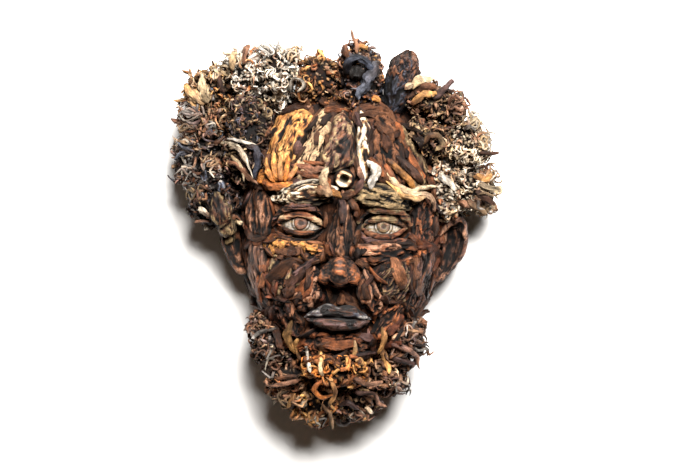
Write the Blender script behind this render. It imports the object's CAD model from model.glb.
"""The looks of the mask: each CAD piece dressed as driftwood, bark or a tangle of root wood.

Places on the head are counted in eye widths from the middle of the face, as x to the viewer's right and y to
the crown, and sizes are in metres. The eyes of the frame give the head's own axes.
"""

import itertools
import math
import random

import bmesh
import bpy
import numpy as np
from mathutils import Matrix, Quaternion, Vector
from mathutils.bvhtree import BVHTree


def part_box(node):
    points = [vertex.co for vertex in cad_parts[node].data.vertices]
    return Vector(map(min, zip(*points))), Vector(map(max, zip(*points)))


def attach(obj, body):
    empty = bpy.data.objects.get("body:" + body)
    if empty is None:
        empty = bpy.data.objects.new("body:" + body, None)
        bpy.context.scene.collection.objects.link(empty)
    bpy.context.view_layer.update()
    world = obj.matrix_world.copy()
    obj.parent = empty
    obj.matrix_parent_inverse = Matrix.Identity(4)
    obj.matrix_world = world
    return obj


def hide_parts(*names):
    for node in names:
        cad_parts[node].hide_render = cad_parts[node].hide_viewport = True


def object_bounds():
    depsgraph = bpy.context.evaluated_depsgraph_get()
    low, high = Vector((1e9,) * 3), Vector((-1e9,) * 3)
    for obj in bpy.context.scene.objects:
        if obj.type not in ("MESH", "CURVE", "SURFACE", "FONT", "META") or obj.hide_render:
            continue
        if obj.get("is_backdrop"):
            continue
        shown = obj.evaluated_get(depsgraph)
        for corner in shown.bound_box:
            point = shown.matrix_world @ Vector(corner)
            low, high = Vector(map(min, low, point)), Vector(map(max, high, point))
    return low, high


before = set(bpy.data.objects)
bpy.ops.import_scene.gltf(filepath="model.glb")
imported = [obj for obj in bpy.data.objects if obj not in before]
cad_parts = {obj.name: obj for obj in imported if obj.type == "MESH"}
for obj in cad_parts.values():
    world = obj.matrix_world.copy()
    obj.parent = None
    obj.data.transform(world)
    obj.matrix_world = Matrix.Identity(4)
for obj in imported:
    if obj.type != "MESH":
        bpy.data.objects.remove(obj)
CAD_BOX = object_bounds()
MM = 0.001
CORNERS = list(itertools.product((0, 1), repeat=3))
NEIGHBOURS = list(itertools.product((-1, 0, 1), repeat=3))


# The head's axes, from its eyes


def box_middle(name):
    low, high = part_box(name)
    return (low + high) / 2


EYES_Y = 0.14
LEFT_EYE, RIGHT_EYE = box_middle("eye_left"), box_middle("eye_right")
EYE = (RIGHT_EYE - LEFT_EYE).xy.length / 2
RIGHT = (RIGHT_EYE - LEFT_EYE).xy.normalized()
UP = Vector((-RIGHT.y, RIGHT.x))
MIDDLE = ((LEFT_EYE + RIGHT_EYE) / 2).xy - UP * EYES_Y * EYE
HEAD_TURN = math.atan2(RIGHT.y, RIGHT.x)


def on_head(x, y, z=0.0):
    """The point at x, y eye widths on the head, z metres above the wall."""
    flat = MIDDLE + RIGHT * x * EYE + UP * y * EYE
    return Vector((flat.x, flat.y, z))


# Colours of the wood


def screen(red, green, blue):
    """A linear colour from the values that a screen shows."""
    return tuple((c / 255) ** 2.2 for c in (red, green, blue))


COLOURS = {
    "white": screen(236, 226, 210),
    "bone": screen(222, 206, 184),
    "cream": screen(205, 180, 146),
    "ash": screen(158, 150, 142),
    "sand": screen(178, 146, 112),
    "khaki": screen(140, 116, 84),
    "olive": screen(104, 90, 66),
    "honey": screen(204, 150, 90),
    "ochre": screen(178, 122, 66),
    "orange": screen(200, 118, 54),
    "rust": screen(140, 82, 50),
    "pink": screen(156, 114, 90),
    "umber": screen(110, 72, 50),
    "red": screen(100, 57, 40),
    "cocoa": screen(78, 50, 36),
    "plum": screen(90, 66, 62),
    "slate": screen(70, 74, 86),
    "steel": screen(104, 108, 120),
    "soot": screen(44, 31, 25),
    "black": screen(21, 15, 12),
}


def stained(palette, tone):
    """The colours at tone 0 to 1 along a palette, which is a string of colour names."""
    colours = np.array([COLOURS[name] for name in palette.split()])
    place = np.clip(tone, 0, 1) * (len(colours) - 1)
    low = np.minimum(place.astype(int), len(colours) - 2)
    part = (place - low)[:, None]
    return colours[low] * (1 - part) + colours[low + 1] * part


def drawn(numbers, palette, count):
    """So many colours, drawn at random from a palette."""
    names = palette.split()
    return np.array([COLOURS[names[i]] for i in numbers.integers(0, len(names), count)])


# Noise


def lattice(cell, seed):
    """A fixed random number from -1 to 1 at each whole-numbered point."""
    c = cell.astype(np.uint32)
    h = c[:, 0] * np.uint32(0x8DA6B343)
    h = h ^ (c[:, 1] * np.uint32(0xD8163841))
    h = h ^ (c[:, 2] * np.uint32(0xCB1AB31F))
    h = h ^ np.uint32(seed * 0x9E3779B1 & 0xFFFFFFFF)
    h = (h ^ (h >> np.uint32(15))) * np.uint32(0x2C1B3C6D)
    h = (h ^ (h >> np.uint32(12))) * np.uint32(0x297A2D39)
    h = h ^ (h >> np.uint32(15))
    return h.astype(float) / 2147483647.5 - 1


def lumps(points, size, seed, octaves=1):
    """Smooth noise from about -1 to 1, with lumps of a size that is one number or one for each axis."""
    total, share = 0.0, 1.0
    for octave in range(octaves):
        p = points / (np.asarray(size) * 0.5**octave)
        cell = np.floor(p).astype(np.int64)
        part = p - cell
        part = part * part * (3 - 2 * part)
        value = 0.0
        for corner in CORNERS:
            weight = np.prod(np.where(corner, part, 1 - part), axis=1)
            value = value + weight * lattice(cell + corner, seed + octave)
        total = total + share * value
        share *= 0.5
    return total


def cells(points, size, seed):
    """How far the nearest and the next of scattered centres are, in cell sizes, and the nearest's number."""
    p = points / np.asarray(size)
    cell = np.floor(p).astype(np.int64)
    first = np.full(len(p), 9.0)
    second, own = first.copy(), np.zeros(len(p))
    for step in NEIGHBOURS:
        near = cell + step
        centre = near + 0.5 + 0.45 * np.stack([lattice(near, seed + k) for k in range(3)], axis=1)
        far = np.linalg.norm(p - centre, axis=1)
        second = np.where(far < first, first, np.minimum(second, far))
        own = np.where(far < first, lattice(near, seed + 3), own)
        first = np.minimum(first, far)
    return first, second, own


def strayed(points, size, seed, octaves=1, step=1):
    """How far smooth noise moves each point along x, y and z, from about -1 to 1."""
    return np.stack([lumps(points, size, seed + step * k, octaves) for k in range(3)], axis=1)


def dips(value):
    """How far below 0 a value is, up to 1."""
    return np.clip(-value, 0, 1)


def unit(vectors):
    return vectors / np.maximum(np.linalg.norm(vectors, axis=-1, keepdims=True), 1e-9)


def random_direction(rng):
    z = rng.uniform(-1, 1)
    turn = rng.uniform(0, 2 * math.pi)
    flat = math.sqrt(1 - z * z)
    return Vector((flat * math.cos(turn), flat * math.sin(turn), z))


# Meshes in the making


def placed(name, data):
    """A new object in the scene."""
    made = bpy.data.objects.new(name, data)
    bpy.context.scene.collection.objects.link(made)
    return made


class Wood:
    """A piece's points and triangles, with each point's stain, depth in the shade and place in the fibre."""

    def __init__(self):
        self.points, self.faces, self.stain, self.depth, self.fibre = [], [], [], [], []
        self.count = 0

    def add(self, points, faces, stain, depth, fibre):
        self.points.append(points)
        self.faces.append(np.asarray(faces) + self.count)
        self.stain.append(stain)
        self.depth.append(depth)
        self.fibre.append(fibre)
        self.count += len(points)

    def made(self, name, slot, replaced=(), crease=None):
        """The finished piece, riding on the mask, with edges keener than the crease in degrees left sharp.

        Nothing in it gets below the wall.
        """
        points, faces = np.concatenate(self.points), np.concatenate(self.faces)
        points[:, 2] = np.maximum(points[:, 2], 0)
        mesh = bpy.data.meshes.new(name)
        mesh.vertices.add(len(points))
        mesh.vertices.foreach_set("co", points.ravel())
        mesh.loops.add(faces.size)
        mesh.loops.foreach_set("vertex_index", faces.ravel())
        mesh.polygons.add(len(faces))
        mesh.polygons.foreach_set("loop_start", np.arange(0, faces.size, 3))
        mesh.update(calc_edges=True)
        mesh.shade_smooth()
        if crease:
            mesh.set_sharp_from_angle(angle=math.radians(crease))
        stain = np.ones((len(points), 4))
        stain[:, :3] = np.concatenate(self.stain)
        mesh.color_attributes.new("stain", "FLOAT_COLOR", "POINT").data.foreach_set("color", stain.ravel())
        depth = np.clip(np.concatenate(self.depth), 0, 1)
        mesh.attributes.new("depth", "FLOAT", "POINT").data.foreach_set("value", depth)
        fibre = np.concatenate(self.fibre)
        mesh.attributes.new("fibre", "FLOAT_VECTOR", "POINT").data.foreach_set("vector", fibre.ravel())
        mesh.materials.append(MATERIALS[slot])
        piece = placed(name, mesh)
        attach(piece, "root")
        if replaced:
            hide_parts(*replaced)
        return piece


# The knots, grooves and patches of stain on a stick: their sizes along, across and up, and their strengths
KNOT_SIZE, KNOTTED = (0.010, 0.006, 0.006), 0.6
GROOVE_SIZE, GROOVED, GROOVE_SHADE = (0.022, 0.0022, 0.0022), 0.8, 0.8
PATCH_SIZE, PATCHED, PATCH_BASE, PATCH_CONTRAST = (0.014, 0.005, 0.005), 0.6, 0.3, 1.2
# Of how many parts of a stick the last is torn, how late the tip's stain comes, and how dark the underside is
TORN_PARTS, TIP_LATE = 4, 1.5
UNDER_BASE, UNDER_SINE = 0.5, 0.9


def frames_along(paths, ups):
    """The directions at each ring of each stick: along it, its own way up, and across."""
    tangents = unit(np.gradient(paths, axis=1))
    normals = np.empty_like(paths)
    normal = ups
    for ring in range(paths.shape[1]):
        along = tangents[:, ring]
        normal = unit(normal - np.sum(normal * along, axis=1, keepdims=True) * along)
        normals[:, ring] = normal
    return tangents, normals, np.cross(tangents, normals)


def stick_faces(count, rings, sides):
    """The triangles of sticks, whose points come ring by ring with the middles of the two ends last."""
    each = rings * sides + 2
    ring, side = np.meshgrid(np.arange(rings - 1), np.arange(sides), indexing="ij")
    a = (ring * sides + side).ravel()
    b = (ring * sides + (side + 1) % sides).ravel()
    walls = np.concatenate([np.stack([a, b, b + sides], 1), np.stack([a, b + sides, a + sides], 1)])
    turn, after = np.arange(sides), (np.arange(sides) + 1) % sides
    start = np.stack([after, turn, np.full(sides, each - 2)], 1)
    last = (rings - 1) * sides
    end = np.stack([last + turn, last + after, np.full(sides, each - 1)], 1)
    faces = np.concatenate([walls, start, end])
    return (faces[None] + np.arange(count)[:, None, None] * each).reshape(-1, 3)


def with_ends(rims, ends):
    """What sticks have at the points of their rings, joined to what they have at their two ends."""
    count = len(ends)
    width = rims.shape[3:]
    return np.concatenate([rims.reshape(count, -1, *width), ends], axis=1).reshape(-1, *width)


def tubes(
    wood, paths, wide, thick, ups, stain, tips, sides, shade, rough, seed,
    ragged=0.0, square=1.0, twist=0.0, under=0.0, patches=None,
):
    """Adds sticks of wood. paths is sticks by rings by 3, and wide and thick their half sizes at each ring.

    stain turns into tips along the stick, and is broken by patches. shade is the depth at each ring, and
    under what the lower side adds to it. rough is the share of a half size that knots and grooves stand up,
    twist how far the grooves turn, in radians a metre, and ragged how far the ends are torn.
    """
    count, rings, _ = paths.shape
    tangents, normals, across = frames_along(paths, ups)
    angles = np.arange(sides) * 2 * math.pi / sides
    cosines = np.sign(np.cos(angles)) * np.abs(np.cos(angles)) ** square
    sines = np.sign(np.sin(angles)) * np.abs(np.sin(angles)) ** square
    sideways = wide[:, :, None] * cosines
    upward = thick[:, :, None] * sines
    steps = np.linalg.norm(np.diff(paths, axis=1, prepend=paths[:, :1]), axis=2)
    run = np.cumsum(steps, axis=1)
    offsets = np.random.default_rng(seed).uniform(-1, 1, (count, 1, 1, 3))
    turns = run[:, :, None] * twist
    turned_side = sideways * np.cos(turns) - upward * np.sin(turns)
    turned_up = sideways * np.sin(turns) + upward * np.cos(turns)
    fibre = np.stack(np.broadcast_arrays(run[:, :, None], turned_side, turned_up), axis=3) + offsets
    spots = fibre.reshape(-1, 3)
    bumps = KNOTTED * lumps(spots, KNOT_SIZE, seed) + GROOVED * lumps(spots, GROOVE_SIZE, seed + 3, 2)
    bumps = bumps.reshape(count, rings, sides)
    swell = 1 + rough * bumps
    rim = across[:, :, None] * (sideways * swell)[..., None]
    rim = rim + normals[:, :, None] * (upward * swell)[..., None]
    points = paths[:, :, None] + rim
    part = np.linspace(0, 1, rings)
    if ragged:
        torn = np.random.default_rng(seed + 1).uniform(-1, 1, (count, 1, sides, 1)) * ragged
        run_out, run_in = part * TORN_PARTS - (TORN_PARTS - 1), 1 - part * TORN_PARTS
        ends = (np.clip(run_out, 0, 1) - np.clip(run_in, 0, 1))[None, :, None, None]
        points = points + tangents[:, :, None] * torn * ends
    blend = (part**TIP_LATE)[None, :, None, None]
    colours = stain[:, None, None] * (1 - blend) + tips[:, None, None] * blend
    patch = PATCHED * np.clip(PATCH_BASE + PATCH_CONTRAST * lumps(spots, PATCH_SIZE, seed + 7, 2), 0, 1)
    patch = patch.reshape(count, rings, sides, 1)
    patches = np.roll(stain, 1, axis=0) if patches is None else patches
    colours = colours * (1 - patch) + patches[:, None, None] * patch
    depth = np.broadcast_to(shade, (count, rings))[:, :, None] + dips(bumps) * GROOVE_SHADE
    depth = depth + under * np.clip(UNDER_BASE - UNDER_SINE * np.sin(angles), 0, 1)
    wood.add(
        with_ends(points, paths[:, [0, -1]]),
        stick_faces(count, rings, sides),
        with_ends(colours, np.stack([stain, tips], axis=1)),
        with_ends(depth, depth[:, [0, -1]].mean(axis=2)),
        with_ends(fibre, fibre[:, [0, -1]].mean(axis=2)),
    )


# Materials


def shader_node(tree, kind, inputs, **settings):
    """A new node with its settings, each input set to a value or joined to a socket."""
    made = tree.nodes.new(kind)
    for key, value in settings.items():
        setattr(made, key, value)
    for key, value in inputs.items():
        if isinstance(value, bpy.types.NodeSocket):
            tree.links.new(value, made.inputs[key])
        else:
            made.inputs[key].default_value = value
    return made


# The grain: each noise's scale, detail and roughness, and how its values are ranged into shares of light
DRAWN_OUT = (1.0, 9.0, 9.0)
FIBRE_NOISE, MOTTLE_NOISE, PORE_NOISE = (6.0, 0.65), (110.0, 4.0, 0.6), (900.0, 3.0, 0.6)
FIBRE_RANGE, MOTTLE_RANGE, PORE_RANGE = (0.38, 0.62), (0.36, 0.64, 0.50, 1.45), (0.40, 0.58, 0.62, 1.12)
RUBBED_RANGE, LESS_ROUGH, MORE_ROUGH = (0.3, 0.7), 0.12, 0.08
DEEP_LIGHT, DUST, PORE_DEEP = 0.03, 0.4, 0.3


def wood_material(name, rough, shine, streaks, fibre_length, relief):
    """Weathered wood: each point's stain, streaked along the fibre and mottled, and dark where deep."""
    material = bpy.data.materials.new(name)
    material.use_nodes = True
    tree = material.node_tree
    shader = tree.nodes["Principled BSDF"]

    def attribute(key, output):
        return shader_node(tree, "ShaderNodeAttribute", {}, attribute_name=key).outputs[output]

    def noise(vector, scale, detail, roughness):
        inputs = {"Vector": vector, "Scale": scale, "Detail": detail, "Roughness": roughness}
        return shader_node(tree, "ShaderNodeTexNoise", inputs).outputs[0]

    def ranged(value, low, high, to_low, to_high):
        inputs = {0: value, 1: low, 2: high, 3: to_low, 4: to_high}
        return shader_node(tree, "ShaderNodeMapRange", inputs).outputs[0]

    def joined(operation, a, b):
        return shader_node(tree, "ShaderNodeMath", {0: a, 1: b}, operation=operation).outputs[0]

    def vector_joined(operation, inputs):
        return shader_node(tree, "ShaderNodeVectorMath", inputs, operation=operation).outputs[0]

    stain = attribute("stain", "Color")
    depth = attribute("depth", "Fac")
    fibre = attribute("fibre", "Vector")
    fibres = noise(vector_joined("MULTIPLY", {0: fibre, 1: DRAWN_OUT}), 1 / fibre_length, *FIBRE_NOISE)
    mottle, pores = noise(fibre, *MOTTLE_NOISE), noise(fibre, *PORE_NOISE)
    streaked = ranged(fibres, *FIBRE_RANGE, 1 - streaks, 1 + streaks)
    mottled, pored = ranged(mottle, *MOTTLE_RANGE), ranged(pores, *PORE_RANGE)
    shaded = ranged(depth, 0.0, 1.0, 1.0, DEEP_LIGHT)
    light = joined("MULTIPLY", joined("MULTIPLY", streaked, mottled), joined("MULTIPLY", pored, shaded))
    tree.links.new(vector_joined("SCALE", {0: stain, "Scale": light}), shader.inputs["Base Color"])
    shader.inputs["Specular IOR Level"].default_value = shine
    rubbed = ranged(mottle, *RUBBED_RANGE, rough - LESS_ROUGH, rough + MORE_ROUGH)
    tree.links.new(joined("ADD", rubbed, joined("MULTIPLY", depth, DUST)), shader.inputs["Roughness"])
    height = joined("ADD", fibres, joined("MULTIPLY", pores, PORE_DEEP))
    bump = shader_node(tree, "ShaderNodeBump", {"Strength": 1.0, "Distance": 2 * relief, "Height": height})
    tree.links.new(bump.outputs[0], shader.inputs["Normal"])
    return material


# Each slot's roughness, shine, streaks, length of fibre and height of the fine relief
SLOTS = {
    "ground_wood": (0.90, 0.10, 0.35, 0.020, 0.0012),
    "dark_bark": (0.46, 0.25, 0.45, 0.012, 0.0016),
    "red_bark": (0.44, 0.28, 0.45, 0.012, 0.0014),
    "orange_wood": (0.54, 0.30, 0.38, 0.014, 0.0011),
    "tan_wood": (0.66, 0.30, 0.42, 0.014, 0.0013),
    "grey_wood": (0.60, 0.30, 0.35, 0.020, 0.0010),
    "pale_wood": (0.70, 0.30, 0.30, 0.022, 0.0010),
    "root_pale": (0.78, 0.25, 0.25, 0.010, 0.0007),
    "root_brown": (0.66, 0.25, 0.30, 0.010, 0.0007),
    "root_dark": (0.50, 0.25, 0.35, 0.010, 0.0007),
    "eye_wood": (0.50, 0.45, 0.22, 0.016, 0.0005),
    "pupil_wood": (0.42, 0.45, 0.30, 0.010, 0.0005),
    "lip_wood": (0.34, 0.45, 0.45, 0.020, 0.0016),
    "nose_wood": (0.44, 0.35, 0.40, 0.018, 0.0008),
}
MATERIALS = {slot: wood_material(slot + "_look", *look) for slot, look in SLOTS.items()}


# The CAD surfaces that pieces lie on


def surface_of(names):
    """A tree of the CAD faces of these nodes, and the node that each face belongs to."""
    points, faces, owners = [], [], []
    for name in names:
        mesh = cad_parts[name].data
        start = len(points)
        points += [v.co.copy() for v in mesh.vertices]
        faces += [[start + i for i in p.vertices] for p in mesh.polygons]
        owners += [name] * len(mesh.polygons)
    return BVHTree.FromPolygons(points, faces), owners


ALL_SURFACE, SURFACE_OWNERS = surface_of(sorted(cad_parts))
TOP = 1.0


def dense(mesh, size, rounds):
    """A dense, even copy of a closed mesh with its edges rounded: points, triangles and normals."""
    work = placed("work", mesh.copy())
    even = work.modifiers.new("even", "REMESH")
    even.mode = "VOXEL"
    even.voxel_size = size
    if rounds:
        soft = work.modifiers.new("soft", "SMOOTH")
        soft.iterations = rounds
    made = work.evaluated_get(bpy.context.evaluated_depsgraph_get()).to_mesh()
    points = np.empty(len(made.vertices) * 3)
    made.vertices.foreach_get("co", points)
    normals = np.empty(len(made.vertices) * 3)
    made.vertex_normals.foreach_get("vector", normals)
    made.calc_loop_triangles()
    faces = np.empty(len(made.loop_triangles) * 3, np.int32)
    made.loop_triangles.foreach_get("vertices", faces)
    old = work.data
    bpy.data.objects.remove(work)
    bpy.data.meshes.remove(old)
    return points.reshape(-1, 3), faces.reshape(-1, 3), normals.reshape(-1, 3)


def own_axes(points):
    """A piece's middle and axes in plan: its longest way towards the crown, across, and out of the wall."""
    middle = (points.min(axis=0) + points.max(axis=0)) / 2
    flat = points[:, :2] - middle[:2]
    along = np.append(np.linalg.eigh(flat.T @ flat)[1][:, -1], 0)
    along = along if along[1] >= 0 else -along
    across = np.cross((0, 0, 1), along)
    return middle, np.stack([along, across, (0, 0, 1)], axis=1)


# Ways that a carved or broken surface is worked; each gives the height, the depth in the shade and the tone.
# The sizes of their forms are in metres, along the fibre, across it and out of the surface
LEDGE_SIZE, LEDGE_KEEN = (0.045, 0.011, 0.014), 7
WARP_SIZE, WARPED, CRACK_WIDTH = 0.014, 0.0055, 0.13
BLOCK_SIZE, BLOCK_FIBRE = (0.019, 0.010, 0.020), (0.014, 0.0036, 0.0036)
LONG_FIBRE, FINE_FIBRE, LONG_LIE = (0.034, 0.0052, 0.0052), (0.018, 0.0030, 0.0030), (0.04, 0.014, 0.014)
SPLIT_SIZE, SPLIT_WIDTH, SPLIT_REGION = (0.05, 0.009, 0.011), 0.07, 0.022
LAYER_SIZE, LAYER_KEEN, LAYER_SLANT = (0.026, 0.008, 0.014), 8, 0.8
LAYER_FIBRE, LAYER_LIE = (0.020, 0.0036, 0.0036), 0.020
WORN_FIBRE, WORN_LIE = (0.040, 0.0030, 0.0030), (0.026, 0.013, 0.013)
CHECK_SIZE, CHECK_WIDTH = (0.06, 0.010, 0.012), 0.05
SCORCH_SIZE, TORN_SHARE = (0.018, 0.009, 0.010), 0.25
HOLE_PLACE, HOLE_RADIUS, HOLE_DEEP = (-0.010, -0.004, 0), 0.0050, 0.006
STUMP_CHANGE = 0.020
BURL_LONGER, BURL_WARP_SIZE, BURL_WARPED = (1.0, 1.3, 1.0), 0.018, 0.007
BURL_RING, SHORT_FIBRE = 0.0048, 0.004
IRIS_GROOVE, GROOVE_WIDTH, LATHE_RING, LATHE_GRAIN = 0.225, 0.0010, 0.0021, (0.020, 0.0016, 0.0030)
PUPIL_RADIUS, DIMPLE_AT, RIM_AT, RAYS = 0.165, 0.40, 0.86, 23
KNOT_HOLE_AT, KNOT_RIM_AT, KNOT_RIM_WIDTH, KNOT_HOLE_DEEP = 0.34, 0.70, 0.25, 0.010
CRUMB_SIZE, CRUMB_LIE = 0.0062, 0.014


def ledges(q, seed):
    """Steps where layers of the wood have broken away, from -1 to 1."""
    return np.tanh(LEDGE_KEEN * lumps(q, LEDGE_SIZE, seed + 31, 2))


def rips(q, size, width, seed):
    """Thin rips along the fibre, from 0 beside them to 1 in their middle."""
    return np.clip(1 - np.abs(lumps(q, size, seed)) / width, 0, 1)


def from_middle(q):
    """How far points are from the middle, in plan."""
    return np.linalg.norm(q[:, :2], axis=1)


def within(radius, edge, keen):
    """1 inside an edge and 0 outside it, or the other way round with keen below 0."""
    return 1 / (1 + np.exp(keen * (radius - edge)))


def crests(q, size, seed):
    """Keen crests with wide hollows between them, up to 1."""
    return 1 - 2 * np.abs(lumps(q, size, seed, 2))


def cracked(q, seed):
    """Old bark, split into blocks."""
    warped = q + WARPED * strayed(q, WARP_SIZE, seed + 20, 2)
    first, second, own = cells(warped, BLOCK_SIZE, seed)
    crack = np.clip(1 - (second - first) / CRACK_WIDTH, 0, 1)
    fibre = crests(q, BLOCK_FIBRE, seed + 5)
    step = ledges(q, seed)
    height = 0.0016 * own - 0.0034 * crack + 0.0007 * fibre + 0.0018 * step
    return height, 0.95 * crack + 0.3 * dips(fibre), 0.40 + 0.3 * own + 0.15 * fibre + 0.1 * step


def fibrous(q, seed):
    """Torn wood with long fibres and splits."""
    fibre = crests(q, LONG_FIBRE, seed)
    fine = lumps(q, FINE_FIBRE, seed + 5, 2)
    here = np.clip(0.5 + 2.2 * lumps(q, SPLIT_REGION, seed + 11), 0, 1)
    split = here * rips(q, SPLIT_SIZE, SPLIT_WIDTH, seed + 9)
    lie = lumps(q, LONG_LIE, seed + 13)
    step = ledges(q, seed)
    height = 0.0010 * fibre + 0.0005 * fine - 0.0034 * split + 0.0010 * lie + 0.0022 * step
    tone = 0.42 + 0.18 * fibre + 0.16 * fine + 0.2 * lie + 0.12 * step
    return height, 0.9 * split + 0.4 * dips(fine), tone


def flaked(q, seed):
    """A slab broken off in thin layers."""
    slanted = np.stack([q[:, 0] + LAYER_SLANT * q[:, 1], q[:, 1], q[:, 2]], axis=1)
    layer = np.tanh(LAYER_KEEN * lumps(slanted, LAYER_SIZE, seed + 31, 3))
    fibre = crests(q, LAYER_FIBRE, seed)
    lie = lumps(q, LAYER_LIE, seed + 13)
    height = 0.0022 * layer + 0.0008 * fibre + 0.0008 * lie
    return height, 0.35 * dips(fibre), 0.5 + 0.16 * layer + 0.14 * fibre + 0.2 * lie


def worn(q, seed):
    """Driftwood rubbed smooth, with a few fine checks."""
    fibre = lumps(q, WORN_FIBRE, seed, 2)
    check = rips(q, CHECK_SIZE, CHECK_WIDTH, seed + 9)
    lie = lumps(q, WORN_LIE, seed + 13, 2)
    height = 0.0007 * fibre - 0.0018 * check + 0.0020 * lie
    return height, 0.75 * check + 0.25 * dips(fibre), 0.5 + 0.2 * fibre + 0.35 * lie


def scorched(q, seed):
    """Driftwood with a little torn grain and long dark patches."""
    torn, rubbed = fibrous(q, seed), worn(q, seed + 1)
    height, depth, tone = (TORN_SHARE * a + (1 - TORN_SHARE) * b for a, b in zip(torn, rubbed))
    patch = np.clip(4.0 * lumps(q, SCORCH_SIZE, seed + 17, 2) - 1.1, 0, 1)
    return height - 0.0006 * patch, depth, tone + 0.08 - 0.75 * patch


def holed(q, seed):
    """Driftwood rubbed smooth, with a dark hole."""
    height, depth, tone = worn(q, seed)
    hole = np.exp(-((from_middle(q - HOLE_PLACE) / HOLE_RADIUS) ** 4))
    return height - HOLE_DEEP * hole, depth + hole, tone


def stumped(q, seed):
    """A root stump, smooth and dark below and of broken bark above."""
    above = np.clip(q[:, 0] / STUMP_CHANGE + 0.4, 0, 1)
    smooth, broken = worn(q, seed), cracked(q, seed)
    height, depth = (1 - above) * np.array(smooth[:2]) + above * np.array(broken[:2])
    return height, depth, 0.45 * smooth[2] * (1 - above) + (0.25 + 0.6 * broken[2]) * above


def burled(q, seed):
    """A burl, with rings round its middle."""
    warped = q * BURL_LONGER + BURL_WARPED * strayed(q, BURL_WARP_SIZE, seed + 20, 2)
    wave = np.sin(from_middle(warped) * 2 * math.pi / BURL_RING)
    fibre = lumps(q, SHORT_FIBRE, seed, 2)
    height, depth, tone = fibrous(q, seed)
    return 0.8 * height + 0.0007 * wave, depth + 0.4 * dips(wave), tone + 0.10 * wave + 0.2 * fibre


def turned(q, seed):
    """Wood turned on a lathe: a groove round the middle, and fine rings outside it."""
    radius = from_middle(q)
    groove = np.exp(-(((radius - IRIS_GROOVE * EYE) / GROOVE_WIDTH) ** 2))
    rings = np.sin(radius * 2 * math.pi / LATHE_RING)
    grain = lumps(q, LATHE_GRAIN, seed, 2)
    height = -0.0032 * groove + 0.0003 * rings + 0.0003 * grain
    return height, 0.8 * groove, 0.62 + 0.1 * rings + 0.25 * grain - 0.3 * groove


def pupil(q, seed):
    """A turned button: a dark dimple, a ring of rays and a dark rim."""
    radius = from_middle(q) / (PUPIL_RADIUS * EYE)
    turn = np.arctan2(q[:, 1], q[:, 0])
    dimple = within(radius, DIMPLE_AT, 22)
    rim = within(radius, RIM_AT, -26)
    rays = 0.12 * np.sin(turn * RAYS + 3 * np.sin(turn * 5)) * (1 - dimple)
    return -0.0030 * dimple, 0.85 * dimple + 0.6 * rim, 0.75 + rays + lumps(q, SHORT_FIBRE, seed) * 0.15


def ringed(q, seed):
    """A knot's pale collar round its dark hole, browned at the rim."""
    radius = from_middle(q) / from_middle(q).max()
    height, depth, tone = worn(q, seed)
    hole = within(radius, KNOT_HOLE_AT, 18)
    rim = np.clip((radius - KNOT_RIM_AT) / KNOT_RIM_WIDTH, 0, 1)
    return height - KNOT_HOLE_DEEP * hole, depth + hole, tone + 0.15 - 0.6 * rim


def crumbled(q, seed):
    """Crumbly lumps."""
    first, _, own = cells(q, CRUMB_SIZE, seed)
    lie = lumps(q, CRUMB_LIE, seed + 5)
    height = 0.0030 * (0.6 - first) + 0.0016 * lie
    return height, np.clip(first * 1.5 - 0.45, 0, 1), 0.5 + 0.4 * own + 0.2 * lie


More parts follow.
